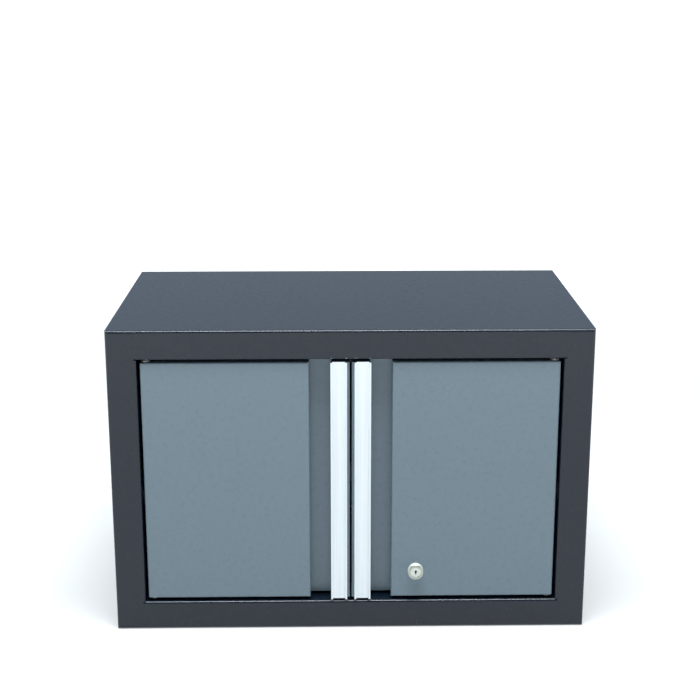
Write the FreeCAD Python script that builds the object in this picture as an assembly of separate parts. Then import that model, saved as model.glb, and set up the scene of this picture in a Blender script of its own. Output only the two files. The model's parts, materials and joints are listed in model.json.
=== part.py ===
"""Hanging wall cabinet: a folded sheet-steel casing with a 38 mm front frame, two inset doors on pivot pins,
a finger pocket and an aluminium pull strip on each door, a cam lock, magnetic catches and one loose shelf.

Frame: millimetres, X to the right as seen from the front, Y from the front to the wall, Z up. The origin is the
centre of the four wall-screw holes, on the back face that meets the wall.
"""

import math
import os

import FreeCAD
import Part

Vec = FreeCAD.Vector

# ---------------------------------------------------------------- driving dimensions
WIDTH = 610.0
DEPTH = 305.0
HEIGHT = 406.0
SHEET = 1.0                 # casing and door sheet
BEND = 3.0                  # outside bend radius of the casing sheet
TRIM_BEND = 2.0             # and of the shelf and its uprights
FRAME = 38.0                # face width of the stiles and rails
LEDGE = 24.0                # depth of the return behind the frame's face
STOP = 12.0                 # height of the door-stop lip
REAR_FLANGE = 18.0
RAIL_LAP = 3.0              # the rails run this far past the opening, over the stiles
SEAM = 0.25                 # gap where a rail meets a stile
WRAP = 3.2                  # how far the top and bottom plates fold over the stiles
CORNER = 3.0                # corner radius of flat sheets and of the cam
HOLE_R = 1.6                # clearance hole of a small screw or rivet
SHANK_R = 1.5               # and the screw or rivet in it

WALL_PITCH_X = 406.4        # wall-screw pitch, 16 in stud spacing
WALL_PITCH_Z = 300.0
WALL_HOLE_R = 4.5
WALL_RAIL_HEIGHT = 40.0
WALL_RAIL_DEPTH = 12.0
WALL_RAIL_SHEET = 1.5
WALL_RAIL_HALF = 278.0

DOOR_SETBACK = 3.0          # door face behind the frame's face
DOOR_THICK = 20.0
SIDE_GAP = 3.6
CENTRE_GAP = 2.4
END_GAP = 4.2
PANEL_W = 211.0             # broad part of the door face
POST_W = 23.2               # post beside the door's free edge, under the pull strip
POCKET_DEPTH = 16.0
DOOR_RADIUS = 2.0
FLANGE = 11.0               # folded return round the door's back

PIVOT_IN = 7.0              # hinge axis from the door's outer edge
PIVOT_BACK = 8.0            # and from its face
PIN_R = 3.0
PIN_REACH = 12.0            # how far a pin enters the door's edge, measured from the casing
RUNNING = 0.05              # radial clearance of a pin in its bush
BUSH_R = 4.2
BUSH_FLANGE_R = 5.2
BUSH_FLANGE = 1.6
COLLAR_R = 5.0
PLATE_THICK = 2.5           # hinge plate inside the door's edge

STRIP_W = 21.0
STRIP_OVERHANG = 1.2        # the strip stands this far over the pocket, for the fingers
STRIP_WEB = 2.0
STRIP_LIP = 2.6
STRIP_LIP_HEIGHT = 5.5
STRIP_EXTRA = 0.8           # the strip is this much longer than the door at each end
STRIP_SCREW_PITCH = 120.0
STRIP_SCREW_BITE = 1.6      # how far a screw enters the web

LOCK_FROM_POCKET = 31.7     # lock axis from the pocket's edge
LOCK_FROM_BOTTOM = 37.7     # and from the door's lower edge
LOCK_HEAD_R = 10.0
LOCK_FACE_R = 9.0           # the head narrows to this at its front
LOCK_HEAD = 8.0
LOCK_SHOULDER = 1.0         # depth of the head's sloping shoulder
LOCK_BULGE = 0.15           # how far the shoulder stands out from a straight slope
LOCK_BODY_R = 9.0
LOCK_NUT_R = 12.7           # centre to corner
LINER_HOLE_R = 14.0         # room round the nut in the door's inner skin
PLUG_R = 6.5
PLUG_RECESS = 0.6           # plug face behind the head's face
KEY_SLOT_W = 1.8
KEY_SLOT_R = 1.6
TAIL_HALF = 3.5             # the plug's square tail
CAM_REACH = 39.0
CAM_THICK = 3.0
CAM_W = 14.0
CAM_SCREW_R = 2.0

CATCH_X = 88.0              # catch centre from the cabinet's middle
CATCH_W = 46.0
CATCH_DEPTH = 14.0
CATCH_HEIGHT = 14.0
CATCH_SCREW_X = 16.0        # screws to each side of a catch's centre
CATCH_SCREW_UP = 5.0        # and above the stop lip's tip
STRIKE_DROP = 7.5           # strike centre below the stop lip's tip
STRIKE_RIVET_X = 12.0
BUMPER_R = 3.5
BUMPER = 0.7
BUMPER_X = 14.0
BUMPER_BACK = 3.8           # bumper centre from the stop lip's tip

UPRIGHT_W = 18.0
UPRIGHT_DEPTH = 7.0
UPRIGHT_HALF = 180.0
UPRIGHT_Y = (-245.0, -45.0)
SLOT_PITCH = 25.4
SLOT_W = 11.0
SLOT_H = 3.2
SLOT_COUNT = 13
CLIP_THICK = 1.5
CLIP_HALF = 7.0
CLIP_TAB = 18.0
CLIP_FOOT_Z = -31.0
TONGUE_HALF = 1.1
HOOK_DROP = 5.0

SHELF_HALF_W = 294.0
SHELF_FRONT = -272.0
SHELF_BACK = -18.0
SHELF_BOTTOM = -12.0
SHELF_THICK = 22.0
SHELF_LIP = 14.0

# ---------------------------------------------------------------- derived places
HALF_W = WIDTH / 2
HALF_H = HEIGHT / 2
FRONT = -DEPTH
REAR = -SHEET               # back of the casing sheet, under the back panel
OPEN_X = HALF_W - FRAME
OPEN_Z = HALF_H - FRAME
RAIL_END = OPEN_X + RAIL_LAP
LIP_Y = FRONT + LEDGE
DOOR_FACE = FRONT + DOOR_SETBACK
DOOR_BACK = DOOR_FACE + DOOR_THICK
DOOR_W = (2 * OPEN_X - 2 * SIDE_GAP - CENTRE_GAP) / 2
DOOR_HALF_H = OPEN_Z - END_GAP
DOOR_EDGE_X = OPEN_X - SIDE_GAP
POST_IN = DOOR_W - POST_W
PIVOT_X = DOOR_EDGE_X - PIVOT_IN
PIVOT_Y = DOOR_FACE + PIVOT_BACK
STRIP_IN = POST_IN - STRIP_OVERHANG
LOCK_X = DOOR_EDGE_X - PANEL_W + LOCK_FROM_POCKET
LOCK_Z = -DOOR_HALF_H + LOCK_FROM_BOTTOM
LIP_TIP_Z = OPEN_Z - STOP
CAM_Y = LIP_Y + SHEET + 0.8


# ---------------------------------------------------------------- shape helpers
def block(x, y, z):
    """A box from its low and high X, Y and Z."""
    return Part.makeBox(x[1] - x[0], y[1] - y[0], z[1] - z[0], Vec(x[0], y[0], z[0]))


def rod(radius, start, direction, length):
    """A round bar from start along direction."""
    return Part.makeCylinder(radius, length, Vec(*start), Vec(*direction))


def fused(first, *rest):
    """One solid from shapes that share faces or overlap."""
    return first.fuse(list(rest)).removeSplitter()


def mirrored_x(shape):
    """The same piece on the cabinet's other side."""
    return shape.mirror(Vec(0, 0, 0), Vec(1, 0, 0))


def mirrored_z(shape):
    """The same piece turned upside down."""
    return shape.mirror(Vec(0, 0, 0), Vec(0, 0, 1))


def round_edges(solid, radius, wanted):
    """Fillets the edges for which wanted(middle point, direction) is true."""
    picked = []
    for edge in solid.Edges:
        if edge.Curve.TypeId != "Part::GeomLine":
            continue
        along = edge.tangentAt(edge.FirstParameter)
        if wanted(edge.CenterOfMass, along):
            picked.append(edge)
    return solid.makeFillet(radius, picked)


def rounded_rims(solid, radius):
    """Fillets the circular rims of a turned piece."""
    rims = [e for e in solid.Edges if e.Curve.TypeId == "Part::GeomCircle"]
    return solid.makeFillet(radius, rims)


def rounded_end(head, radius, y):
    """Fillets the rim of a turned head at the given Y."""
    rims = [e for e in head.Edges if abs(e.CenterOfMass.y - y) < 0.01 and e.Closed]
    return head.makeFillet(radius, rims)


def rounded_path(points, radii):
    """Lines and right-angled arcs through 2D points; radii holds one value per inner point."""
    edges = []
    last = points[0]
    for i, radius in enumerate(radii, start=1):
        before, here, after = points[i - 1], points[i], points[i + 1]
        to_here = unit(before, here)
        to_after = unit(here, after)
        start = (here[0] - to_here[0] * radius, here[1] - to_here[1] * radius)
        end = (here[0] + to_after[0] * radius, here[1] + to_after[1] * radius)
        centre = (start[0] + to_after[0] * radius, start[1] + to_after[1] * radius)
        outward = unit(centre, here)
        middle = (centre[0] + outward[0] * radius, centre[1] + outward[1] * radius)
        edges.append(("line", last, start))
        edges.append(("arc", start, middle, end))
        last = end
    edges.append(("line", last, points[-1]))
    return edges


def unit(a, b):
    """Direction from 2D point a to b."""
    length = math.hypot(b[0] - a[0], b[1] - a[1])
    return ((b[0] - a[0]) / length, (b[1] - a[1]) / length)


def folded_sheet(points, thickness, bend, place, sweep):
    """A sheet folded at right angles along points, its thickness to the left of the way the points run.
    place turns a 2D point into a 3D one, and sweep is the vector along which the section is extruded."""
    directions = [unit(a, b) for a, b in zip(points, points[1:])]
    lefts = [(-d[1], d[0]) for d in directions]
    back = [tuple(p + thickness * n for p, n in zip(points[0], lefts[0]))]
    near_radii, far_radii = [], []
    for i in range(1, len(points) - 1):
        before, after = lefts[i - 1], lefts[i]
        back.append(tuple(p + thickness * (m + n) for p, m, n in zip(points[i], before, after)))
        d, e = directions[i - 1], directions[i]
        turns_left = d[0] * e[1] - d[1] * e[0] > 0
        near_radii.append(bend if turns_left else bend - thickness)
        far_radii.append(bend - thickness if turns_left else bend)
    back.append(tuple(p + thickness * n for p, n in zip(points[-1], lefts[-1])))
    outline = rounded_path(points, near_radii)
    outline.append(("line", points[-1], back[-1]))
    outline += rounded_path(back[::-1], far_radii[::-1])
    outline.append(("line", back[0], points[0]))
    edges = []
    for kind, *where in outline:
        spots = [place(*p) for p in where]
        edges.append((Part.LineSegment(*spots) if kind == "line" else Part.Arc(*spots)).toShape())
    return Part.Face(Part.Wire(edges)).extrude(sweep)


def flat_xy(z):
    """Places 2D points level, at height z."""
    return lambda x, y: Vec(x, y, z)


def flat_yz(x):
    """Places 2D points upright and square to the front, at the given X."""
    return lambda y, z: Vec(x, y, z)


# ---------------------------------------------------------------- casing
def left_side_panel():
    """Side wall with its rear flange and the front stile folded in one piece."""
    outline = [
        (-HALF_W + REAR_FLANGE, REAR),
        (-HALF_W, REAR),
        (-HALF_W, FRONT),
        (-OPEN_X, FRONT),
        (-OPEN_X, LIP_Y),
    ]
    half = HALF_H - SHEET
    panel = folded_sheet(outline, SHEET, BEND, flat_xy(-half), Vec(0, 0, 2 * half))
    rail_notch = block((-RAIL_END - SEAM, -OPEN_X + 1), (FRONT - 1, LIP_Y + 1), (OPEN_Z - SEAM, HALF_H))
    wrap_low = HALF_H - WRAP - SEAM
    wrap_notch = block((-HALF_W - 1, -OPEN_X + 1), (FRONT - 1, FRONT + BEND), (wrap_low, HALF_H))
    notches = fused(rail_notch, wrap_notch)
    return panel.cut([notches, mirrored_z(notches)])


def top_panel():
    """Top plate with the rear flange, the front rail, its ledge and the door-stop lip."""
    outline = [
        (REAR, HALF_H - REAR_FLANGE),
        (REAR, HALF_H),
        (FRONT, HALF_H),
        (FRONT, OPEN_Z),
        (LIP_Y, OPEN_Z),
        (LIP_Y, LIP_TIP_Z),
    ]
    middle = folded_sheet(outline, SHEET, BEND, flat_yz(-RAIL_END), Vec(2 * RAIL_END, 0, 0))
    wings_outline = [(REAR, HALF_H), (FRONT, HALF_H), (FRONT, HALF_H - WRAP)]
    wings = folded_sheet(wings_outline, SHEET, BEND, flat_yz(-HALF_W), Vec(WIDTH, 0, 0))
    plan = round_edges(
        block((-HALF_W, HALF_W), (FRONT, REAR), (HALF_H - 2 * BEND, HALF_H)),
        BEND,
        lambda p, d: abs(d.z) > 0.9 and p.y < FRONT + 1,
    )
    panel = fused(middle, wings.common(plan))
    lip_end = PIVOT_X - 6.0
    tools = []
    for side in (-1, 1):
        ends = sorted((side * lip_end, side * (RAIL_END + 1)))
        tools.append(block(ends, (LIP_Y - 1, LIP_Y + SHEET + 1), (LIP_TIP_Z - 1, OPEN_Z - BEND)))
        tools.append(rod(PIN_R + 0.1, (side * PIVOT_X, PIVOT_Y, OPEN_Z - 1), (0, 0, 1), SHEET + 2))
    return panel.cut(tools)


def catch_screw_spots():
    """X of the four catch screws."""
    return [side * CATCH_X + offset for side in (-1, 1) for offset in (-CATCH_SCREW_X, CATCH_SCREW_X)]


def drilled_top_panel():
    """The top panel also takes the catch screws through its stop lip."""
    z = LIP_TIP_Z + CATCH_SCREW_UP
    holes = [rod(HOLE_R, (x, LIP_Y - 1, z), (0, 1, 0), SHEET + 2) for x in catch_screw_spots()]
    return top_panel().cut(holes)


def wall_hole_spots():
    """X and Z of the wall-screw holes."""
    return [(sx * WALL_PITCH_X / 2, sz * WALL_PITCH_Z / 2) for sx in (-1, 1) for sz in (-1, 1)]


def back_panel():
    """Flat back, welded over the rear flanges, with the four wall-screw holes."""
    inset = 0.5
    sheet = round_edges(
        block((inset - HALF_W, HALF_W - inset), (-SHEET, 0), (inset - HALF_H, HALF_H - inset)),
        CORNER,
        lambda p, d: abs(d.y) > 0.9,
    )
    holes = [rod(WALL_HOLE_R, (x, -SHEET - 1, z), (0, 1, 0), SHEET + 2) for x, z in wall_hole_spots()]
    return sheet.cut(holes)


def upper_wall_rail():
    """Channel inside the back that spreads the load of the wall screws."""
    middle = WALL_PITCH_Z / 2
    half = WALL_RAIL_HEIGHT / 2
    outline = [
        (REAR - WALL_RAIL_DEPTH, middle - half),
        (REAR, middle - half),
        (REAR, middle + half),
        (REAR - WALL_RAIL_DEPTH, middle + half),
    ]
    rail = folded_sheet(
        outline, WALL_RAIL_SHEET, BEND, flat_yz(-WALL_RAIL_HALF), Vec(2 * WALL_RAIL_HALF, 0, 0)
    )
    deep = WALL_RAIL_SHEET + 2
    holes = [
        rod(WALL_HOLE_R, (side * WALL_PITCH_X / 2, REAR - deep, middle), (0, 1, 0), deep + 1)
        for side in (-1, 1)
    ]
    return rail.cut(holes)


def left_upright(y):
    """Slotted channel on the side wall that carries the shelf clips."""
    wall = -HALF_W + SHEET
    web = wall + UPRIGHT_DEPTH
    outline = [
        (wall, y - UPRIGHT_W / 2),
        (web, y - UPRIGHT_W / 2),
        (web, y + UPRIGHT_W / 2),
        (wall, y + UPRIGHT_W / 2),
    ]
    channel = folded_sheet(outline, SHEET, TRIM_BEND, flat_xy(-UPRIGHT_HALF), Vec(0, 0, 2 * UPRIGHT_HALF))
    slots = []
    for n in range(SLOT_COUNT):
        z = (n - (SLOT_COUNT - 1) / 2) * SLOT_PITCH
        slots.append(
            block(
                (web - SHEET - 1, web + 1),
                (y - SLOT_W / 2, y + SLOT_W / 2),
                (z - SLOT_H / 2, z + SLOT_H / 2),
            )
        )
    return channel.cut(slots)


def left_shelf_clip(y):
    """Bent clip: a hook through one slot of the upright and a tab under the shelf."""
    face = -HALF_W + SHEET + UPRIGHT_DEPTH
    across = (y - CLIP_HALF, y + CLIP_HALF)
    tab = block((face, face + CLIP_TAB), across, (SHELF_BOTTOM - CLIP_THICK, SHELF_BOTTOM))
    plate = block((face, face + CLIP_THICK), across, (CLIP_FOOT_Z, SHELF_BOTTOM))
    tongue_y = (across[0] + 2.5, across[1] - 2.5)
    behind = face - SHEET - 0.2
    tongue_top = TONGUE_HALF - SLOT_PITCH
    tongue = block((behind - CLIP_THICK, face + 0.5), tongue_y, (-TONGUE_HALF - SLOT_PITCH, tongue_top))
    hook = block((behind - CLIP_THICK, behind), tongue_y, (-HOOK_DROP - SLOT_PITCH, tongue_top))
    return fused(tab, plate, tongue, hook)


def shelf():
    """Loose steel shelf: a pan with folded edges and a return lip underneath."""
    top = SHELF_BOTTOM + SHELF_THICK
    outer = round_edges(
        block((-SHELF_HALF_W, SHELF_HALF_W), (SHELF_FRONT, SHELF_BACK), (SHELF_BOTTOM, top)),
        TRIM_BEND,
        lambda p, d: p.z > top - 0.1 or abs(d.z) > 0.9,
    )
    cavity = block(
        (SHEET - SHELF_HALF_W, SHELF_HALF_W - SHEET),
        (SHELF_FRONT + SHEET, SHELF_BACK - SHEET),
        (SHELF_BOTTOM + SHEET, top - SHEET),
    )
    under = block(
        (SHELF_LIP - SHELF_HALF_W, SHELF_HALF_W - SHELF_LIP),
        (SHELF_FRONT + SHELF_LIP, SHELF_BACK - SHELF_LIP),
        (SHELF_BOTTOM - 1, SHELF_BOTTOM + 2 * SHEET),
    )
    return outer.cut([cavity, under])


# ---------------------------------------------------------------- hinges
def left_upper_hinge_pin():
    """Headed pin, dropped through the top ledge into the door's upper bush."""
    top = OPEN_Z + SHEET
    shank = rod(PIN_R, (-PIVOT_X, PIVOT_Y, OPEN_Z - PIN_REACH), (0, 0, 1), PIN_REACH + SHEET)
    head = rod(COLLAR_R, (-PIVOT_X, PIVOT_Y, top), (0, 0, 1), 3.0)
    head = rounded_rims(head, 0.6)
    return fused(shank, head)


def left_lower_hinge_pin():
    """Pin riveted into the sill, with the collar that carries the door."""
    sill = -OPEN_Z
    pin = rod(PIN_R, (-PIVOT_X, PIVOT_Y, sill - SHEET), (0, 0, 1), SHEET + PIN_REACH + 1)
    collar = rod(COLLAR_R, (-PIVOT_X, PIVOT_Y, sill), (0, 0, 1), END_GAP - BUSH_FLANGE - 0.2)
    rivet = rod(COLLAR_R, (-PIVOT_X, PIVOT_Y, sill - SHEET - 1.5), (0, 0, 1), 1.5)
    return fused(pin, collar, rivet)


def left_upper_bush():
    """Nylon flanged bush in the door's top edge."""
    top = DOOR_HALF_H
    deep = 5.5
    barrel = rod(BUSH_R, (-PIVOT_X, PIVOT_Y, top - deep), (0, 0, 1), deep)
    flange = rod(BUSH_FLANGE_R, (-PIVOT_X, PIVOT_Y, top), (0, 0, 1), BUSH_FLANGE)
    bore = rod(PIN_R + RUNNING, (-PIVOT_X, PIVOT_Y, top - deep - 1), (0, 0, 1), 2 * deep)
    return fused(barrel, flange).cut(bore)


def left_upper_hinge_plate():
    """Stiffening plate under the door's top flange, round the bush."""
    top = DOOR_HALF_H - SHEET
    plate = block(
        (door_x(1.5), door_x(33)), (DOOR_FACE + 1.5, DOOR_FACE + 17.5), (top - PLATE_THICK, top)
    )
    return plate.cut(rod(BUSH_R + RUNNING, (-PIVOT_X, PIVOT_Y, top - 4), (0, 0, 1), 6))


# ---------------------------------------------------------------- doors
def door_x(inward):
    """X on the left door, measured inward from its outer edge."""
    return -DOOR_EDGE_X + inward


def strip_screw_spots():
    """X and Z of the left strip's screws."""
    middle = door_x(STRIP_IN + STRIP_W / 2)
    return [(middle, n * STRIP_SCREW_PITCH) for n in (-1, 0, 1)]


def left_door_skin():
    """Outer skin: broad panel, finger pocket and post folded from one sheet, with returns round the back."""
    back = DOOR_BACK - SHEET
    h = DOOR_HALF_H
    panel = block((door_x(0), door_x(PANEL_W)), (DOOR_FACE, back), (-h, h))
    panel = round_edges(
        panel,
        DOOR_RADIUS,
        lambda p, d: p.y < DOOR_FACE + 0.1 or (abs(d.y) > 0.9 and p.x < door_x(1)),
    )
    panel_room = block(
        (door_x(SHEET), door_x(PANEL_W - SHEET)),
        (DOOR_FACE + SHEET, back - SHEET),
        (SHEET - h, h - SHEET),
    )
    panel_back = block(
        (door_x(FLANGE), door_x(PANEL_W - FLANGE)), (back - 2 * SHEET, back + 1), (FLANGE - h, h - FLANGE)
    )
    floor_y = DOOR_FACE + POCKET_DEPTH
    pocket_floor = block(
        (door_x(PANEL_W - SHEET), door_x(POST_IN + SHEET)), (floor_y, floor_y + SHEET), (-h, h)
    )
    post = block((door_x(POST_IN), door_x(DOOR_W)), (DOOR_FACE, back), (-h, h))
    post = round_edges(post, 1.2, lambda p, d: p.y < DOOR_FACE + 0.1 and abs(d.z) > 0.9)
    post_room = block(
        (door_x(POST_IN + SHEET), door_x(DOOR_W - SHEET)),
        (DOOR_FACE + SHEET, back - SHEET),
        (SHEET - h, h - SHEET),
    )
    post_back = block(
        (door_x(POST_IN + SHEET), door_x(DOOR_W - 12)), (back - 2 * SHEET, back + 1), (SHEET - h, h - SHEET)
    )
    skin = fused(panel.cut([panel_room, panel_back]), post.cut([post_room, post_back]), pocket_floor)
    tools = [rod(BUSH_R + RUNNING, (-PIVOT_X, PIVOT_Y, -h - 1), (0, 0, 1), 2 * h + 2)]
    tools += [rod(HOLE_R, (x, DOOR_FACE - 1, z), (0, 1, 0), SHEET + 2) for x, z in strip_screw_spots()]
    return skin.cut(tools)


def left_door_liner():
    """Flat inner skin that closes the door's back."""
    h = DOOR_HALF_H - SHEET
    liner = round_edges(
        block((door_x(SHEET), door_x(DOOR_W - SHEET)), (DOOR_BACK - SHEET, DOOR_BACK), (-h, h)),
        CORNER,
        lambda p, d: abs(d.y) > 0.9,
    )
    holes = [rod(HOLE_R, (x, DOOR_BACK - 3, z), (0, 1, 0), 5) for x, z in strike_spots()]
    return liner.cut(holes)


def left_pull_strip():
    """Aluminium extrusion: a web with a raised lip along each edge."""
    x0, x1 = door_x(STRIP_IN), door_x(STRIP_IN + STRIP_W)
    z = (-DOOR_HALF_H - STRIP_EXTRA, DOOR_HALF_H + STRIP_EXTRA)
    web = block((x0, x1), (DOOR_FACE - STRIP_WEB, DOOR_FACE), z)
    lips = [
        round_edges(
            block(x, (DOOR_FACE - STRIP_LIP_HEIGHT, DOOR_FACE), z),
            0.5,
            lambda p, d: abs(d.z) > 0.9 and p.y < DOOR_FACE - 1,
        )
        for x in ((x0, x0 + STRIP_LIP), (x1 - STRIP_LIP, x1))
    ]
    deep = STRIP_SCREW_BITE + 0.1
    holes = [rod(SHANK_R, (x, DOOR_FACE - deep, s), (0, 1, 0), 3) for x, s in strip_screw_spots()]
    return fused(web, *lips).cut(holes)


def left_strip_screws():
    """Screws from inside the post into the strip's web."""
    screws = []
    for x, z in strip_screw_spots():
        start = (x, DOOR_FACE - STRIP_SCREW_BITE, z)
        shank = rod(SHANK_R - RUNNING, start, (0, 1, 0), STRIP_SCREW_BITE + SHEET)
        head = rod(2.8, (x, DOOR_FACE + SHEET, z), (0, 1, 0), 2.0)
        screws.append(fused(shank, rounded_end(head, 0.5, DOOR_FACE + SHEET + 2.0)))
    return Part.makeCompound(screws)


# ---------------------------------------------------------------- catches
def strike_spots():
    """X and Z of the left strike plate's rivets."""
    z = LIP_TIP_Z - STRIKE_DROP
    return [(-CATCH_X + offset, z) for offset in (-STRIKE_RIVET_X, STRIKE_RIVET_X)]


def left_strike_plate():
    """Steel plate on the liner that the magnet holds."""
    z = LIP_TIP_Z - STRIKE_DROP
    plate = round_edges(
        block((-CATCH_X - 18, -CATCH_X + 18), (DOOR_BACK, DOOR_BACK + SHEET), (z - 6, z + 6)),
        2.0,
        lambda p, d: abs(d.y) > 0.9,
    )
    return plate.cut([rod(HOLE_R, (x, DOOR_BACK - 1, s), (0, 1, 0), 3) for x, s in strike_spots()])


def left_strike_rivets():
    """Rivets that end flush with the strike plate."""
    rivets = []
    for x, z in strike_spots():
        shank = rod(SHANK_R, (x, DOOR_BACK - SHEET, z), (0, 1, 0), 2 * SHEET)
        head = rod(3.0, (x, DOOR_BACK - SHEET - 1.2, z), (0, 1, 0), 1.2)
        rivets.append(fused(shank, head))
    return Part.makeCompound(rivets)


def left_catch_housing():
    """Moulded body under the stop lip, with a screw tab behind the lip and a pocket for the magnet."""
    x = (-CATCH_X - CATCH_W / 2, -CATCH_X + CATCH_W / 2)
    front = LIP_Y + 0.3
    z = (LIP_TIP_Z - 0.5 - CATCH_HEIGHT, LIP_TIP_Z - 0.5)
    body = round_edges(
        block(x, (front, front + CATCH_DEPTH), z), 1.0, lambda p, d: abs(d.y) > 0.9 and p.z < z[0] + 1
    )
    tab = block(x, (LIP_Y + SHEET, LIP_Y + SHEET + 2), (z[1] - 1, OPEN_Z - 1.5))
    room = block((-CATCH_X - 16, -CATCH_X + 16), (front - 1, front + 11.7), (z[0] + 2.5, z[1] - 2.5))
    holes = [
        rod(HOLE_R + 0.1, (-CATCH_X + offset, LIP_Y, LIP_TIP_Z + CATCH_SCREW_UP), (0, 1, 0), 5)
        for offset in (-CATCH_SCREW_X, CATCH_SCREW_X)
    ]
    return fused(body, tab).cut([room, *holes])


def left_catch_magnet():
    """Magnet block between two steel pole plates."""
    front = LIP_Y + 0.2
    low = LIP_TIP_Z - 0.5 - CATCH_HEIGHT + 2.5
    x = (-CATCH_X - 15.7, -CATCH_X + 15.7)
    poles = [block(x, (front, front + 11), (low + a, low + a + 1.6)) for a in (0.2, 7.2)]
    magnet = block(x, (front + 0.4, front + 11), (low + 1.9, low + 7.1))
    return Part.makeCompound([magnet, *poles])


def catch_screws():
    """Four screws through the catch tabs into the stop lip."""
    screws = []
    z = LIP_TIP_Z + CATCH_SCREW_UP
    rear = LIP_Y + SHEET + 2
    for x in catch_screw_spots():
        shank = rod(SHANK_R, (x, LIP_Y, z), (0, 1, 0), rear - LIP_Y)
        head = rounded_end(rod(3.0, (x, rear, z), (0, 1, 0), 1.8), 0.6, rear + 1.8)
        screws.append(fused(shank, head))
    return Part.makeCompound(screws)


def door_bumpers():
    """Soft pads on the stop lips, behind the doors' free corners."""
    pads = []
    for side in (-1, 1):
        for up in (-1, 1):
            spot = (side * BUMPER_X, LIP_Y - BUMPER, up * (LIP_TIP_Z + BUMPER_BACK))
            pads.append(rod(BUMPER_R, spot, (0, 1, 0), BUMPER))
    return Part.makeCompound(pads)


# ---------------------------------------------------------------- lock
def drilled_for_lock(sheet, radius):
    """A door sheet with the hole that the lock passes through."""
    return sheet.cut(rod(radius, (LOCK_X, DOOR_FACE - 3, LOCK_Z), (0, 1, 0), DOOR_THICK + 6))


def lock_housing():
    """Barrel with a sloping-shouldered head outside the door, bored for the plug."""
    front = DOOR_FACE - LOCK_HEAD
    end = CAM_Y - 0.5

    def spot(radius, y):
        return Vec(LOCK_X + radius, y, LOCK_Z)

    face_rim = spot(LOCK_FACE_R, front)
    shoulder_end = spot(LOCK_HEAD_R, front + LOCK_SHOULDER)
    bulge = spot((LOCK_FACE_R + LOCK_HEAD_R) / 2 + LOCK_BULGE, front + LOCK_SHOULDER / 2)
    outline = [
        Part.LineSegment(spot(0, front), face_rim),
        Part.Arc(face_rim, bulge, shoulder_end),
        Part.LineSegment(shoulder_end, spot(LOCK_HEAD_R, DOOR_FACE)),
        Part.LineSegment(spot(LOCK_HEAD_R, DOOR_FACE), spot(0, DOOR_FACE)),
        Part.LineSegment(spot(0, DOOR_FACE), spot(0, front)),
    ]
    section = Part.Face(Part.Wire([side.toShape() for side in outline]))
    head = section.revolve(Vec(LOCK_X, 0, LOCK_Z), Vec(0, 1, 0), 360)
    barrel = rod(LOCK_BODY_R, (LOCK_X, DOOR_FACE, LOCK_Z), (0, 1, 0), end - DOOR_FACE)
    bore = rod(PLUG_R + RUNNING, (LOCK_X, front - 1, LOCK_Z), (0, 1, 0), end - front + 2)
    return fused(head, barrel).cut(bore)


def lock_nut():
    """Hexagon nut that clamps the lock behind the door skin."""
    corners = [
        Vec(
            LOCK_X + LOCK_NUT_R * math.cos(math.radians(60 * n)),
            DOOR_FACE + SHEET,
            LOCK_Z + LOCK_NUT_R * math.sin(math.radians(60 * n)),
        )
        for n in range(7)
    ]
    nut = Part.Face(Part.makePolygon(corners)).extrude(Vec(0, 4, 0))
    return nut.cut(rod(LOCK_BODY_R + RUNNING, (LOCK_X, DOOR_FACE, LOCK_Z), (0, 1, 0), 8))


def lock_plug():
    """Turning core with an upright key slot in front and a square tail for the cam."""
    front = DOOR_FACE - LOCK_HEAD + PLUG_RECESS
    end = CAM_Y
    core = rod(PLUG_R, (LOCK_X, front, LOCK_Z), (0, 1, 0), end - front)
    tail = block(
        (LOCK_X - TAIL_HALF, LOCK_X + TAIL_HALF),
        (end - 0.1, CAM_Y + CAM_THICK - 0.2),
        (LOCK_Z - TAIL_HALF, LOCK_Z + TAIL_HALF),
    )
    side = KEY_SLOT_W / 2
    slot = block((LOCK_X - side, LOCK_X + side), (front - 1, front + 14), (LOCK_Z - 3.2, LOCK_Z + 1.5))
    slot = fused(slot, rod(KEY_SLOT_R, (LOCK_X, front - 1, LOCK_Z + 1.2), (0, 1, 0), 15))
    screw_hole = rod(CAM_SCREW_R + RUNNING, (LOCK_X, CAM_Y - 8, LOCK_Z), (0, 1, 0), 12)
    return fused(core, tail).cut([slot, screw_hole])


def lock_cam():
    """Flat lever on the plug's tail. It points away from the middle when unlocked and down when locked."""
    y = (CAM_Y, CAM_Y + CAM_THICK)
    round_end = rod(CAM_W / 2, (LOCK_X, CAM_Y, LOCK_Z), (0, 1, 0), CAM_THICK)
    arm = block((LOCK_X, LOCK_X + CAM_REACH), y, (LOCK_Z - CAM_W / 2, LOCK_Z + CAM_W / 2))
    arm = round_edges(arm, CORNER, lambda p, d: abs(d.y) > 0.9 and p.x > LOCK_X + 1)
    half = TAIL_HALF + RUNNING
    hole = block((LOCK_X - half, LOCK_X + half), (y[0] - 1, y[1] + 1), (LOCK_Z - half, LOCK_Z + half))
    return fused(round_end, arm).cut(hole)


def lock_cam_screw():
    """Screw and washer that hold the cam on the plug."""
    rear = CAM_Y + CAM_THICK
    shank = rod(CAM_SCREW_R, (LOCK_X, CAM_Y - 7, LOCK_Z), (0, 1, 0), rear - CAM_Y + 7)
    washer = rod(6.0, (LOCK_X, rear, LOCK_Z), (0, 1, 0), 0.8)
    head = rounded_end(rod(4.0, (LOCK_X, rear + 0.8, LOCK_Z), (0, 1, 0), 2.4), 0.8, rear + 3.2)
    return fused(shank, washer, head)


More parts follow.
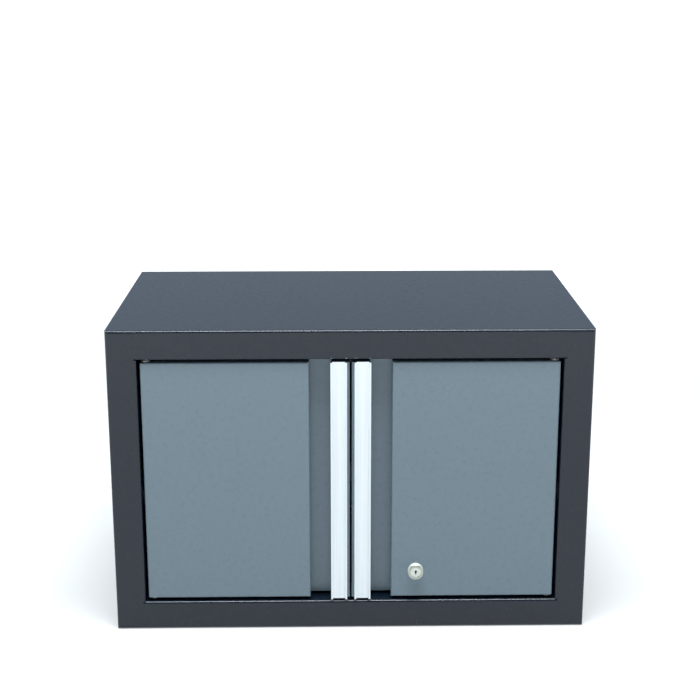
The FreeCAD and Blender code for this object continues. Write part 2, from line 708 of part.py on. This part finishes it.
# ---------------------------------------------------------------- every piece by name
def all_parts():
    """Each node's name and shape."""
    top = drilled_top_panel()
    parts = {
        "left_side_panel": left_side_panel(),
        "top_panel": top,
        "bottom_panel": mirrored_z(top_panel()),
        "back_panel": back_panel(),
        "upper_wall_rail": upper_wall_rail(),
        "shelf": shelf(),
        "catch_screws": catch_screws(),
        "door_bumpers": door_bumpers(),
        "left_upper_hinge_pin": left_upper_hinge_pin(),
        "left_lower_hinge_pin": left_lower_hinge_pin(),
        "left_upper_bush": left_upper_bush(),
        "left_upper_hinge_plate": left_upper_hinge_plate(),
        "left_door_skin": left_door_skin(),
        "left_door_liner": left_door_liner(),
        "left_pull_strip": left_pull_strip(),
        "left_strip_screws": left_strip_screws(),
        "left_strike_plate": left_strike_plate(),
        "left_strike_rivets": left_strike_rivets(),
        "left_catch_housing": left_catch_housing(),
        "left_catch_magnet": left_catch_magnet(),
        "lock_housing": lock_housing(),
        "lock_nut": lock_nut(),
        "lock_plug": lock_plug(),
        "lock_cam": lock_cam(),
        "lock_cam_screw": lock_cam_screw(),
    }
    clips = []
    for place, y in zip(("front", "rear"), UPRIGHT_Y):
        parts[f"left_{place}_upright"] = left_upright(y)
        clip = left_shelf_clip(y)
        clips += [clip, mirrored_x(clip)]
    parts["shelf_clips"] = Part.makeCompound(clips)
    parts["lower_wall_rail"] = mirrored_z(parts["upper_wall_rail"])
    parts["left_lower_bush"] = mirrored_z(parts["left_upper_bush"])
    parts["left_lower_hinge_plate"] = mirrored_z(parts["left_upper_hinge_plate"])
    for name in [n for n in parts if n.startswith("left_")]:
        parts["right_" + name[5:]] = mirrored_x(parts[name])
    parts["right_door_skin"] = drilled_for_lock(parts["right_door_skin"], LOCK_BODY_R + RUNNING)
    parts["right_door_liner"] = drilled_for_lock(parts["right_door_liner"], LINER_HOLE_R)
    return parts


def main():
    """Writes one STEP file for each node."""
    os.makedirs("parts", exist_ok=True)
    for name, shape in all_parts().items():
        solids = shape.Solids
        if not solids or not all(s.isValid() and s.Volume > 0 for s in solids):
            raise ValueError(f"{name} isn't a set of valid solids")
        out = solids[0] if len(solids) == 1 else Part.makeCompound(solids)
        out.exportStep(f"parts/{name}.step")
        print(f"{name}: {len(solids)} solids, {sum(s.Volume for s in solids):.0f} mm3")


main()
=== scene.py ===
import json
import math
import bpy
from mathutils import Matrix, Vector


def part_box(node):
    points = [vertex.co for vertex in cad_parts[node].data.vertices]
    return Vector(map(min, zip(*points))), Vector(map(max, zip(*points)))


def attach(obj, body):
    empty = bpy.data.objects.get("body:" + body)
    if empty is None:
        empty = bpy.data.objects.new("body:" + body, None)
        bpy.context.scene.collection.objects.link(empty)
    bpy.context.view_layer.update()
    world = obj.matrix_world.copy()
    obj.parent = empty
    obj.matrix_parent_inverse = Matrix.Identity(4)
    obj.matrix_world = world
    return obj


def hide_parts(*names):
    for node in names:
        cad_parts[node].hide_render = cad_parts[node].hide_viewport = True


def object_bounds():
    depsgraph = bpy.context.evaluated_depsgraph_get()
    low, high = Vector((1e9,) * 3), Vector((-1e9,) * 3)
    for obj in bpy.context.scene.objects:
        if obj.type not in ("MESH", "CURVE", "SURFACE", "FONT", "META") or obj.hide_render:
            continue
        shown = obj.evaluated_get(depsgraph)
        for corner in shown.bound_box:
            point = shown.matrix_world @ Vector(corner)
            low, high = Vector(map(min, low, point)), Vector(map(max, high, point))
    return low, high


bl_info = {
    "name": "Hanging Wall Cabinet",
    "version": (1, 0, 0),
    "blender": (4, 5, 0),
    "location": "View3D > Sidebar > Wall Cabinet",
    "description": "Finishes a sheet-steel wall cabinet: paint, pulls, lock, catches, hinges and studio",
    "category": "Object",
}

import bmesh
import bpy
from bpy.props import FloatProperty, FloatVectorProperty, PointerProperty
from mathutils import Matrix, Vector

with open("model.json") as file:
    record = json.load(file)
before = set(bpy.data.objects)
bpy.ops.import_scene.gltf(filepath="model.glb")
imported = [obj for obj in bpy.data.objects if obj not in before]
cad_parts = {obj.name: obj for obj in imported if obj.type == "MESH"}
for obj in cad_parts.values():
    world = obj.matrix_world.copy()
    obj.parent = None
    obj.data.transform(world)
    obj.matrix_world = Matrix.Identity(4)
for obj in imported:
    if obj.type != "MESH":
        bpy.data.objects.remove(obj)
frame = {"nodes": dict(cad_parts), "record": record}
CAD_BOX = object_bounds()

MM = 0.001
CREASE = math.radians(32)           # edges that turn more than this stay sharp
WHITE = (1, 1, 1, 1)
FLOOR_GLOW = (0.26, 0.26, 0.26, 1)  # the floor's own light close to the cabinet
NEAR_FLOOR = 0.9                    # the glow starts to rise this far from the origin
FAR_FLOOR = 2.2                     # and is white from here on
COOL_LIGHT = (0.92, 0.98, 1.0)      # the soft boxes' colour
COOL_SWEEP = (0.86, 1.0, 1.18, 1)   # the sky's colour, for everything but the camera
SIDES = ("left", "right")
FACE_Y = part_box("lock_housing")[0].y   # where the lock's face is
SEAM_X = 270.125 * MM               # middle of the gap between a rail and a stile
SEAM_Z = (165.3 * MM, 199.5 * MM)   # where that gap starts and ends, from the cabinet's middle


# ---------------------------------------------------------------- settings
def colour(name, description, default):
    return FloatVectorProperty(
        name=name, description=description, default=default, subtype="COLOR", size=3, min=0, max=1
    )


def length(name, description, default):
    return FloatProperty(
        name=name, description=description, default=default, unit="LENGTH", subtype="DISTANCE"
    )


def factor(name, description, default):
    return FloatProperty(name=name, description=description, default=default, subtype="FACTOR", min=0, max=1)


def angle(name, description, default):
    return FloatProperty(name=name, description=description, default=default, subtype="ANGLE")


class CabinetPaint(bpy.types.PropertyGroup):
    """Colours and surface of the powder coat."""

    casing: colour("Casing", "Powder coat of the casing and shelf", (0.004, 0.009, 0.020))
    doors: colour("Doors", "Powder coat of both doors", (0.158, 0.219, 0.263))
    casing_roughness: factor("Casing Roughness", "Sheen of the casing's textured coat", 0.30)
    door_roughness: factor("Door Roughness", "Sheen of the doors' smooth coat", 0.30)
    grain: length("Grain", "Width of one bump in the casing's texture", 0.9 * MM)


class CabinetHardware(bpy.types.PropertyGroup):
    """Colours of the fittings and sizes of their small details."""

    aluminium: colour("Aluminium", "Anodised pull strips", (0.73, 0.78, 0.81))
    nickel: colour("Nickel", "Plating on the lock", (0.47, 0.49, 0.45))
    # near-black colour of the lower hinge pins: painted shade for the dark gap at the doors' lower corners
    lower_pin_shade: colour("Blackened", "Oiled steel of the lower hinge pins", (0.02, 0.025, 0.03))
    zinc: colour("Zinc", "Plating on pins, clips, rails and screws", (0.62, 0.63, 0.64))
    nylon: colour("Nylon", "Hinge bushes", (0.36, 0.36, 0.34))
    plastic: colour("Plastic", "Catch mouldings", (0.022, 0.022, 0.024))
    rubber: colour("Rubber", "Door bumpers", (0.16, 0.16, 0.165))
    groove: length("Groove", "Depth of the ring cut in the lock's face", 0.35 * MM)
    bead: length("Bead", "Pitch of the beads round the lock's head", 1.4 * MM)
    dome: length("Dome", "Roundness of the rubber bumpers' rims", 0.3 * MM)


class CabinetStage(bpy.types.PropertyGroup):
    """Camera, floor and lights."""

    side: length("Side", "Camera to the left of the cabinet's middle", 0.022)
    distance: length("Distance", "Camera in front of the cabinet's face", 1.413)
    height: length("Height", "Camera above the cabinet's middle", 0.631)
    tilt: angle("Tilt", "Camera's downward tilt", math.radians(12.75))
    pan: angle("Pan", "Camera's turn to the right", math.radians(0.85))
    lens: FloatProperty(name="Lens", description="Focal length in millimetres", default=61.2)
    shift: FloatProperty(name="Shift", description="Vertical lens shift", default=-0.15)
    floor: colour("Floor", "Pale floor", (0.58, 0.58, 0.58))


# ---------------------------------------------------------------- node maths
class Wire:
    """A shader socket with arithmetic: each operator adds one Math node."""

    def __init__(self, kit, socket):
        self.kit = kit
        self.socket = socket

    def _maths(self, operation, *values):
        return self.kit.add("ShaderNodeMath", {"operation": operation}, dict(enumerate(values)))

    def __add__(self, other):
        return self._maths("ADD", self, other)

    def __radd__(self, other):
        return self._maths("ADD", other, self)

    def __mul__(self, other):
        return self._maths("MULTIPLY", self, other)

    def __rmul__(self, other):
        return self._maths("MULTIPLY", other, self)


class Finish:
    """A material under construction: a Principled shader and the nodes that feed it."""

    def __init__(self, name, base, roughness, metallic=0.0, **constants):
        self.material = bpy.data.materials.new(name)
        self.material.use_nodes = True
        self.tree = self.material.node_tree
        self.shader = next(n for n in self.tree.nodes if n.type == "BSDF_PRINCIPLED")
        self.shader.inputs["Base Color"].default_value = (*base, 1)
        self.shader.inputs["Roughness"].default_value = roughness
        self.shader.inputs["Metallic"].default_value = metallic
        for key, value in constants.items():
            self.shader.inputs[key.replace("_", " ")].default_value = value
        self.place = self.add("ShaderNodeTexCoord", output="Object")

    def add(self, kind, settings=None, inputs=None, output=0):
        """Adds a node of any type, with its settings set first and then its inputs; returns one output."""
        node = self.tree.nodes.new(kind)
        for key, value in (settings or {}).items():
            setattr(node, key, value)
        for key, value in (inputs or {}).items():
            if isinstance(value, Wire):
                self.tree.links.new(value.socket, node.inputs[key])
            else:
                node.inputs[key].default_value = value
        return Wire(self, node.outputs[output])

    def feed(self, key, value):
        """Links a value to one of the shader's sockets."""
        self.tree.links.new(value.socket, self.shader.inputs[key])

    def stretched(self, scale):
        """Object coordinates scaled along each axis."""
        return self.add("ShaderNodeMapping", {}, {"Vector": self.place, "Scale": scale})

    def noise(self, size, detail=2.0, roughness=0.5, where=None):
        """Noise whose features are about size metres wide."""
        inputs = {"Vector": where or self.place, "Scale": 1 / size, "Detail": detail, "Roughness": roughness}
        return self.add("ShaderNodeTexNoise", {}, inputs, "Fac")

    def axis(self, index):
        """One of the object coordinates, in metres."""
        return self.add("ShaderNodeSeparateXYZ", {}, {"Vector": self.place}, index)

    def ramp(self, value, low, high, out_low=0.0, out_high=1.0):
        """A smooth step from out_low to out_high while value goes from low to high."""
        inputs = {"Value": value, "From Min": low, "From Max": high, "To Min": out_low, "To Max": out_high}
        return self.add("ShaderNodeMapRange", {"interpolation_type": "SMOOTHSTEP"}, inputs)

    def mix(self, amount, one, other):
        """A colour between one and other."""
        inputs = {0: amount, 6: one, 7: other}
        return self.add("ShaderNodeMix", {"data_type": "RGBA"}, inputs, 2)

    def bump(self, height, distance):
        """A normal for relief that is distance metres deep where height is 1."""
        return self.add("ShaderNodeBump", {}, {"Height": height, "Distance": distance, "Strength": 1.0})


def shade(rgb, k):
    """A colour made lighter or darker, for a node's colour socket."""
    return tuple(min(1.0, c * k) for c in rgb) + (1.0,)


# ---------------------------------------------------------------- finishes
def powder_coat(name, base, roughness, grain, relief, mottle, specks):
    """Powder coat: fine orange peel, slow mottling and small changes of sheen."""
    coat = Finish(name, base, roughness, **{"Specular_IOR_Level": 0.5})
    peel = coat.noise(grain, 3.0, 0.55)
    broad = coat.noise(7 * MM, 2.0)
    cloud = coat.noise(45 * MM, 2.0)
    tone = coat.ramp(broad * 0.5 + cloud * 0.5, 0.35, 0.65)
    speck = coat.ramp(coat.noise(grain * 0.6, 1.0), 0.62, 0.80)
    tinted = coat.mix(tone, shade(base, 1 - mottle), shade(base, 1 + mottle))
    coat.feed("Base Color", coat.mix(speck * specks, tinted, shade(base, 1.25)))
    coat.feed("Roughness", coat.ramp(peel * 0.6 + broad * 0.4, 0.3, 0.7, roughness - 0.05, roughness + 0.06))
    coat.feed("Normal", coat.bump(peel, relief))
    return coat.material


def drawn_aluminium(hardware):
    """Anodised extrusion: fine die lines along Z and a slow change of sheen."""
    metal = Finish("drawn_aluminium", hardware.aluminium, 0.34, 1.0)
    lines = metal.noise(0.35 * MM, 3.0, 0.6, metal.stretched((1, 1, 0.004)))
    bands = metal.noise(2.5 * MM, 2.0, 0.5, metal.stretched((1, 1, 0.01)))
    base = hardware.aluminium
    metal.feed("Base Color", metal.mix(metal.ramp(bands, 0.35, 0.65), shade(base, 0.95), shade(base, 1.03)))
    metal.feed("Roughness", metal.ramp(lines * 0.6 + bands * 0.4, 0.3, 0.7, 0.26, 0.42))
    metal.feed("Normal", metal.bump(lines, 0.02 * MM))
    return metal.material


def nickel_plate(hardware):
    """Bright plating with faint handling marks; every surface behind the lock's face is satin and painted
    1.9 times lighter, a painted highlight that makes the head's side read white.
    """
    base = hardware.nickel
    metal = Finish("nickel_plate", base, 0.24, 1.0)
    marks = metal.noise(1.2 * MM, 4.0, 0.7)
    # side masks every surface behind the lock's face, where the satin and the painted highlight go
    side = metal.ramp(metal.axis(1), FACE_Y + 0.2 * MM, FACE_Y + 1.0 * MM)
    plate = metal.mix(metal.ramp(marks, 0.4, 0.7), shade(base, 1.04), shade(base, 0.90))
    # behind the face the base colour is raised 1.9 times: a painted highlight on the lock head's side
    metal.feed("Base Color", metal.mix(side, plate, shade(base, 1.9)))
    metal.feed("Roughness", metal.ramp(marks, 0.35, 0.75, 0.18, 0.34) + side * 0.45)
    metal.feed("Normal", metal.bump(metal.noise(0.5 * MM, 2.0), 0.01 * MM))
    return metal.material


def zinc_plate(name, base):
    """Zinc-plated steel with a cloudy, slightly blue and yellow bloom; with a near-black base it gives the
    lower hinge pins their painted shade.
    """
    metal = Finish(name, base, 0.34, 1.0)
    bloom = metal.noise(9 * MM, 3.0, 0.6)
    blue = tuple(c * k for c, k in zip(base, (0.94, 0.98, 1.05))) + (1.0,)
    yellow = tuple(c * k for c, k in zip(base, (1.05, 1.02, 0.92))) + (1.0,)
    metal.feed("Base Color", metal.mix(metal.ramp(bloom, 0.35, 0.65), blue, yellow))
    metal.feed("Roughness", metal.ramp(metal.noise(1.5 * MM, 4.0, 0.7), 0.3, 0.7, 0.26, 0.44))
    metal.feed("Normal", metal.bump(metal.noise(0.4 * MM, 2.0), 0.01 * MM))
    return metal.material


def moulded_plastic(name, base, roughness, relief):
    """Moulded plastic or rubber with a fine spark-eroded surface."""
    plastic = Finish(name, base, roughness)
    grit = plastic.noise(0.45 * MM, 3.0, 0.6)
    plastic.feed("Base Color", plastic.mix(plastic.noise(6 * MM), shade(base, 0.9), shade(base, 1.1)))
    plastic.feed("Roughness", plastic.ramp(grit, 0.3, 0.7, roughness - 0.06, roughness + 0.08))
    plastic.feed("Normal", plastic.bump(grit, relief))
    return plastic.material


FINISHES = {}


def finish_of(name):
    """The material of a slot of the record, or of another finish, made when first asked for."""
    if name not in FINISHES:
        paint = bpy.context.scene.cabinet_paint
        hardware = bpy.context.scene.cabinet_hardware
        makers = {
            "casing_paint": lambda: powder_coat(
                "casing_paint", paint.casing, paint.casing_roughness, paint.grain,
                relief=0.02 * MM, mottle=0.035, specks=0.35,
            ),
            "door_paint": lambda: powder_coat(
                "door_paint", paint.doors, paint.door_roughness, paint.grain,
                relief=0.008 * MM, mottle=0.006, specks=0.06,
            ),
            "pull_aluminium": lambda: drawn_aluminium(hardware),
            "lock_nickel": lambda: nickel_plate(hardware),
            "zinc_steel": lambda: zinc_plate("zinc_plate", hardware.zinc),
            # the lower hinge pins' near-black colour is painted shade for the gap they show in
            "lower_pin_shade_steel": lambda: zinc_plate("lower_pin_shade_steel", hardware.lower_pin_shade),
            "nylon": lambda: moulded_plastic("nylon", hardware.nylon, 0.45, 0.01 * MM),
            "catch_moulding": lambda: moulded_plastic("catch_moulding", hardware.plastic, 0.5, 0.02 * MM),
            "bumper_rubber": lambda: moulded_plastic("bumper_rubber", hardware.rubber, 0.7, 0.02 * MM),
        }
        FINISHES[name] = makers[name]()
    return FINISHES[name]


SLOT_OF = {p["node"]: p["material_slot"] for p in frame["record"]["subparts"]}


# ---------------------------------------------------------------- mesh helpers
def add_piece(name, mesh_maker, body, slot):
    """Turns a finished bmesh into an object that rides on a body and has a slot's finish."""
    mesh = bpy.data.meshes.new(name)
    mesh_maker.to_mesh(mesh)
    mesh_maker.free()
    piece = bpy.data.objects.new(name, mesh)
    bpy.context.scene.collection.objects.link(piece)
    mesh.materials.append(finish_of(slot))
    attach(piece, body)
    return piece


def smooth_below(shape, angle):
    """Smooth faces, with every edge that turns more than angle left sharp."""
    for face in shape.faces:
        face.smooth = True
    for edge in shape.edges:
        edge.smooth = edge.calc_face_angle(math.pi) < angle


def turned(profile, centre):
    """A piece turned about a line along Y through centre, from a closed profile of radius and Y."""
    shape = bmesh.new()
    verts = [shape.verts.new((centre.x + radius, y, centre.z)) for radius, y in profile]
    edges = [shape.edges.new(pair) for pair in zip(verts, verts[1:] + verts[:1])]
    around = {"cent": centre, "axis": (0, 1, 0), "angle": math.tau, "steps": 96, "use_merge": True}
    bmesh.ops.spin(shape, geom=verts + edges, **around)
    closed_up(shape)
    smooth_below(shape, CREASE)
    return shape


def closed_up(shape):
    """Merges doubled points and turns every face outwards."""
    bmesh.ops.remove_doubles(shape, verts=shape.verts, dist=1e-7)
    bmesh.ops.recalc_face_normals(shape, faces=shape.faces)


def rounded_block(low, high, radius, segments=3):
    """A box between two corners with all its edges rounded."""
    shape = bmesh.new()
    low, high = Vector(low), Vector(high)
    bmesh.ops.create_cube(shape, size=1)
    bmesh.ops.scale(shape, verts=shape.verts, vec=high - low)
    bmesh.ops.translate(shape, verts=shape.verts, vec=(low + high) / 2)
    rounded(shape, shape.edges, radius, segments)
    return shape


def rounded(shape, edges, radius, segments=3):
    """Rounds the given edges and smooths across them."""
    bmesh.ops.bevel(
        shape, geom=list(edges), offset=radius, affect="EDGES", segments=segments, profile=0.5, material=-1
    )
    smooth_below(shape, CREASE)


def joined(shapes):
    """One bmesh from several; the others are freed."""
    whole = bmesh.new()
    for shape in shapes:
        part = bpy.data.meshes.new("part")
        shape.to_mesh(part)
        shape.free()
        whole.from_mesh(part)
        bpy.data.meshes.remove(part)
    return whole


def middle_of(node):
    """The middle of a CAD node's box."""
    lo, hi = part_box(node)
    return (lo + hi) / 2


def painted(*nodes, finish=None):
    """Gives CAD nodes whose shape is right the finish of their slot, or another finish."""
    for node in nodes:
        for slot in frame["nodes"][node].material_slots:
            slot.material = finish_of(finish or SLOT_OF[node])


# ---------------------------------------------------------------- operators
class CABINET_OT_casing(bpy.types.Operator):
    """Paints the casing"""

    bl_idname = "cabinet.casing"
    bl_label = "Casing"

    def execute(self, context):
        painted("left_side_panel", "right_side_panel", "top_panel", "bottom_panel", "back_panel")
        painted("upper_wall_rail", "lower_wall_rail")
        add_piece("seam_fillers", joined(seam_fillers()), "casing", "casing_paint")
        return {"FINISHED"}


def seam_fillers():
    """Dressed weld in the four seams where the rails meet the stiles."""
    half = 0.22 * MM
    depth = 0.8 * MM
    edge = 0.08 * MM
    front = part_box("top_panel")[0].y + 0.04 * MM
    fillers = []
    for side in (-1, 1):
        for up in (-1, 1):
            x = side * SEAM_X
            low, high = sorted((up * SEAM_Z[0], up * SEAM_Z[1]))
            fillers.append(rounded_block((x - half, front, low), (x + half, front + depth, high), edge, 2))
    return fillers


class CABINET_OT_doors(bpy.types.Operator):
    """Paints the doors"""

    bl_idname = "cabinet.doors"
    bl_label = "Doors"

    def execute(self, context):
        for side in SIDES:
            painted(f"{side}_door_skin", f"{side}_door_liner", f"{side}_pull_strip", f"{side}_strip_screws")
        return {"FINISHED"}


class CABINET_OT_hardware(bpy.types.Operator):
    """Finishes the fittings"""

    bl_idname = "cabinet.hardware"
    bl_label = "Hardware"

    def execute(self, context):
        done = ("panel", "rail", "skin", "liner", "pull_strip", "strip_screws", "bumpers", "housing")
        painted(*(n for n in frame["nodes"] if not n.endswith(done)))
        painted("left_catch_housing", "right_catch_housing")
        # the lower hinge pins get a near-black finish: painted shade where they show in the dark gap at the
        # doors' lower corners
        painted("left_lower_hinge_pin", "right_lower_hinge_pin", finish="lower_pin_shade_steel")
        return {"FINISHED"}


class CABINET_OT_lock(bpy.types.Operator):
    """Turns the lock's head with its ring and puts a dark plate in the key slot as painted shade"""

    bl_idname = "cabinet.lock"
    bl_label = "Lock"

    def execute(self, context):
        head = add_piece("lock_head", lock_head(context.scene.cabinet_hardware), "right_door", "lock_nickel")
        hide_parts("lock_housing")
        # a dark plastic plate sunk in the key slot stands in for the shade inside it: painted shade
        add_piece("key_slot_shade", key_slot_shade(), "lock_core", "catch_moulding")
        return {"FINISHED"}


def lock_head(hardware):
    """Beaded side, rounded rim, face with a cut ring, rounded bore mouth and a plain barrel."""
    lo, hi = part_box("lock_housing")
    plug_lo, plug_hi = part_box("lock_plug")
    face, rear = lo.y, hi.y
    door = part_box("right_door_skin")[0].y
    head_r = (hi.x - lo.x) / 2
    barrel_r = head_r - 1.0 * MM
    bore_r = (plug_hi.x - plug_lo.x) / 2 + 0.05 * MM
    ring_r = head_r - 1.9 * MM
    rim = 0.95 * MM
    profile = [
        (bore_r, rear),
        (bore_r, face + 0.30 * MM),
        (bore_r + 0.10 * MM, face + 0.10 * MM),
        (bore_r + 0.30 * MM, face),
        (ring_r - 0.30 * MM, face),
        (ring_r - 0.15 * MM, face + hardware.groove),
        (ring_r + 0.15 * MM, face + hardware.groove),
        (ring_r + 0.30 * MM, face),
        (head_r - rim, face),
    ]
    for n in range(1, 7):
        turn = n * math.pi / 12
        profile.append((head_r - rim * (1 - math.sin(turn)), face + rim * (1 - math.cos(turn))))
    beads = round((door - face - rim) / hardware.bead)
    pitch = (door - face - rim) / beads
    for n in range(beads):
        for turn in (0.15, 0.35, 0.5, 0.65, 0.85, 1.0) if n else (0.65, 0.85, 1.0):
            dip = 0.28 * pitch * (1 - math.sin(math.pi * turn))
            profile.append((head_r - dip, face + rim + (n + turn) * pitch))
    profile += [(barrel_r, door), (barrel_r, rear - 0.4 * MM), (barrel_r - 0.4 * MM, rear)]
    return turned(profile, middle_of("lock_housing"))


def key_slot_shade():
    """Dark drop-shaped plate inside the key slot: painted shade that makes the slot read black."""
    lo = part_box("lock_plug")[0]
    centre = middle_of("lock_plug")
    radius = 1.5 * MM
    neck = 0.8 * MM
    tail = 3.4
    shape = bmesh.new()
    bmesh.ops.create_circle(shape, cap_ends=True, segments=32, radius=radius)
    for vert in shape.verts:
        if vert.co.y < -neck:
            vert.co.x = max(-neck, min(neck, vert.co.x))
            vert.co.y = tail * (vert.co.y + neck) - 1.4 * MM
    bmesh.ops.rotate(shape, verts=shape.verts, matrix=Matrix.Rotation(math.pi / 2, 3, "X"))
    made = bmesh.ops.extrude_face_region(shape, geom=shape.faces[:])
    back = [v for v in made["geom"] if isinstance(v, bmesh.types.BMVert)]
    bmesh.ops.translate(shape, verts=back, vec=(0, 0.6 * MM, 0))
    place = (centre.x, lo.y + 1.5 * MM, centre.z + 1.2 * MM)
    bmesh.ops.translate(shape, verts=shape.verts, vec=place)
    closed_up(shape)
    smooth_below(shape, CREASE)
    return shape


class CABINET_OT_bumpers(bpy.types.Operator):
    """Domes the rubber bumpers behind the doors"""

    bl_idname = "cabinet.bumpers"
    bl_label = "Bumpers"

    def execute(self, context):
        lo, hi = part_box("door_bumpers")
        radius = (hi.y - lo.y) * 5      # each bumper is ten times as wide as it is thick
        dome = context.scene.cabinet_hardware.dome
        pads = []
        for x in (lo.x + radius, hi.x - radius):
            for z in (lo.z + radius, hi.z - radius):
                profile = [
                    (0.0, hi.y),
                    (radius, hi.y),
                    (radius, lo.y + dome),
                    (radius - 0.3 * dome, lo.y + 0.3 * dome),
                    (radius - dome, lo.y),
                    (0.0, lo.y),
                ]
                pads.append(turned(profile, Vector((x, 0, z))))
        piece = add_piece("bumper_domes", joined(pads), "casing", "bumper_rubber")
        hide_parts("door_bumpers")
        return {"FINISHED"}


class CABINET_OT_stage(bpy.types.Operator):
    """Sets the floor, the lights and the camera"""

    bl_idname = "cabinet.stage"
    bl_label = "Stage"

    def execute(self, context):
        stage = context.scene.cabinet_stage
        add_floor(stage)
        add_lights()
        add_world()
        add_camera(stage)
        context.scene.view_settings.view_transform = "Standard"
        return {"FINISHED"}


def add_floor(stage):
    """A wide pale floor under the cabinet that glows white away from it."""
    shape = bmesh.new()
    bmesh.ops.create_grid(shape, x_segments=1, y_segments=1, size=60.0)
    bmesh.ops.translate(shape, verts=shape.verts, vec=(0, 0, CAD_BOX[0].z - 0.2 * MM))
    mesh = bpy.data.meshes.new("floor")
    shape.to_mesh(mesh)
    shape.free()
    floor = bpy.data.objects.new("floor", mesh)
    bpy.context.scene.collection.objects.link(floor)
    finish = Finish("floor", stage.floor, 0.9, **{"Specular_IOR_Level": 0.1})
    away = finish.add("ShaderNodeVectorMath", {"operation": "LENGTH"}, {0: finish.place}, "Value")
    glow = finish.mix(finish.ramp(away, NEAR_FLOOR, FAR_FLOOR), FLOOR_GLOW, WHITE)
    finish.feed("Emission Color", glow)
    finish.shader.inputs["Emission Strength"].default_value = 1.0
    mesh.materials.append(finish.material)


def add_area(name, spot, aim, size, power):
    """A rectangular soft box at spot, turned towards aim; size in metres, power in watts."""
    light = bpy.data.lights.new(name, "AREA")
    light.shape = "RECTANGLE"
    light.size, light.size_y = size
    light.energy = power
    light.color = COOL_LIGHT
    lamp = bpy.data.objects.new(name, light)
    bpy.context.scene.collection.objects.link(lamp)
    lamp.location = spot
    lamp.rotation_euler = (Vector(aim) - Vector(spot)).to_track_quat("-Z", "Y").to_euler()


def add_lights():
    """Soft boxes high in front, overhead and low at both sides."""
    middle = (0, -0.15, 0)
    add_area("high_front", (0.0, -1.1, 4.3), middle, (2.6, 1.0), 275.0)
    add_area("overhead", (0.0, 0.1, 2.2), middle, (2.4, 0.8), 12.0)
    for name, x in (("left_box", -1.75), ("right_box", 1.75)):
        add_area(name, (x, -1.15, 0.35), middle, (0.7, 1.2), 4.6)


def add_world():
    """A cool bright sweep behind the cabinet, darker in front of it; the camera itself sees plain white."""
    world = bpy.data.worlds.new("studio")
    bpy.context.scene.world = world
    world.use_nodes = True
    tree = world.node_tree
    background = next(n for n in tree.nodes if n.type == "BACKGROUND")
    place = tree.nodes.new("ShaderNodeTexCoord")
    parts = tree.nodes.new("ShaderNodeSeparateXYZ")
    rays = tree.nodes.new("ShaderNodeLightPath")
    sweep = tree.nodes.new("ShaderNodeMapRange")
    for key, value in {"From Min": -0.35, "From Max": 0.6, "To Min": 0.04, "To Max": 0.56}.items():
        sweep.inputs[key].default_value = value
    seen = tree.nodes.new("ShaderNodeMath")
    seen.operation = "MAXIMUM"
    tint = tree.nodes.new("ShaderNodeMix")
    tint.data_type = "RGBA"
    tint.inputs["A"].default_value = COOL_SWEEP
    tint.inputs["B"].default_value = WHITE
    tree.links.new(place.outputs["Generated"], parts.inputs["Vector"])
    tree.links.new(parts.outputs["Y"], sweep.inputs["Value"])
    tree.links.new(sweep.outputs["Result"], seen.inputs[0])
    tree.links.new(rays.outputs["Is Camera Ray"], seen.inputs[1])
    tree.links.new(rays.outputs["Is Camera Ray"], tint.inputs["Factor"])
    tree.links.new(seen.outputs["Value"], background.inputs["Strength"])
    tree.links.new(tint.outputs["Result"], background.inputs["Color"])


def add_camera(stage):
    """The camera, in front of the cabinet and above it, tilted down."""
    camera = bpy.data.cameras.new("camera")
    camera.sensor_width = 36.0
    camera.lens = stage.lens
    camera.shift_y = stage.shift
    eye = bpy.data.objects.new("camera", camera)
    bpy.context.scene.collection.objects.link(eye)
    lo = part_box("top_panel")[0]
    eye.location = (-stage.side, lo[1] - stage.distance, stage.height)
    eye.rotation_euler = (math.pi / 2 - stage.tilt, 0, -stage.pan)
    bpy.context.scene.camera = eye


class CABINET_PT_panel(bpy.types.Panel):
    """Lists the steps that finish the cabinet"""

    bl_label = "Wall Cabinet"
    bl_idname = "CABINET_PT_panel"
    bl_space_type = "VIEW_3D"
    bl_region_type = "UI"
    bl_category = "Wall Cabinet"

    def draw(self, context):
        for step in STEPS:
            self.layout.operator(step.bl_idname)
        for group in ("cabinet_paint", "cabinet_hardware", "cabinet_stage"):
            settings = getattr(context.scene, group)
            for name in type(settings).__annotations__:
                self.layout.prop(settings, name)


GROUPS = {"cabinet_paint": CabinetPaint, "cabinet_hardware": CabinetHardware, "cabinet_stage": CabinetStage}
STEPS = (
    CABINET_OT_casing,
    CABINET_OT_doors,
    CABINET_OT_hardware,
    CABINET_OT_lock,
    CABINET_OT_bumpers,
    CABINET_OT_stage,
)


def register():
    for kind in (*GROUPS.values(), *STEPS, CABINET_PT_panel):
        bpy.utils.register_class(kind)
    for name, kind in GROUPS.items():
        setattr(bpy.types.Scene, name, PointerProperty(type=kind))


def unregister():
    for name in GROUPS:
        delattr(bpy.types.Scene, name)
    for kind in (CABINET_PT_panel, *reversed(STEPS), *GROUPS.values()):
        bpy.utils.unregister_class(kind)


def main():
    register()
    for step in STEPS:
        group, name = step.bl_idname.split(".")
        getattr(getattr(bpy.ops, group), name)()


if __name__ == "__main__":
    main()
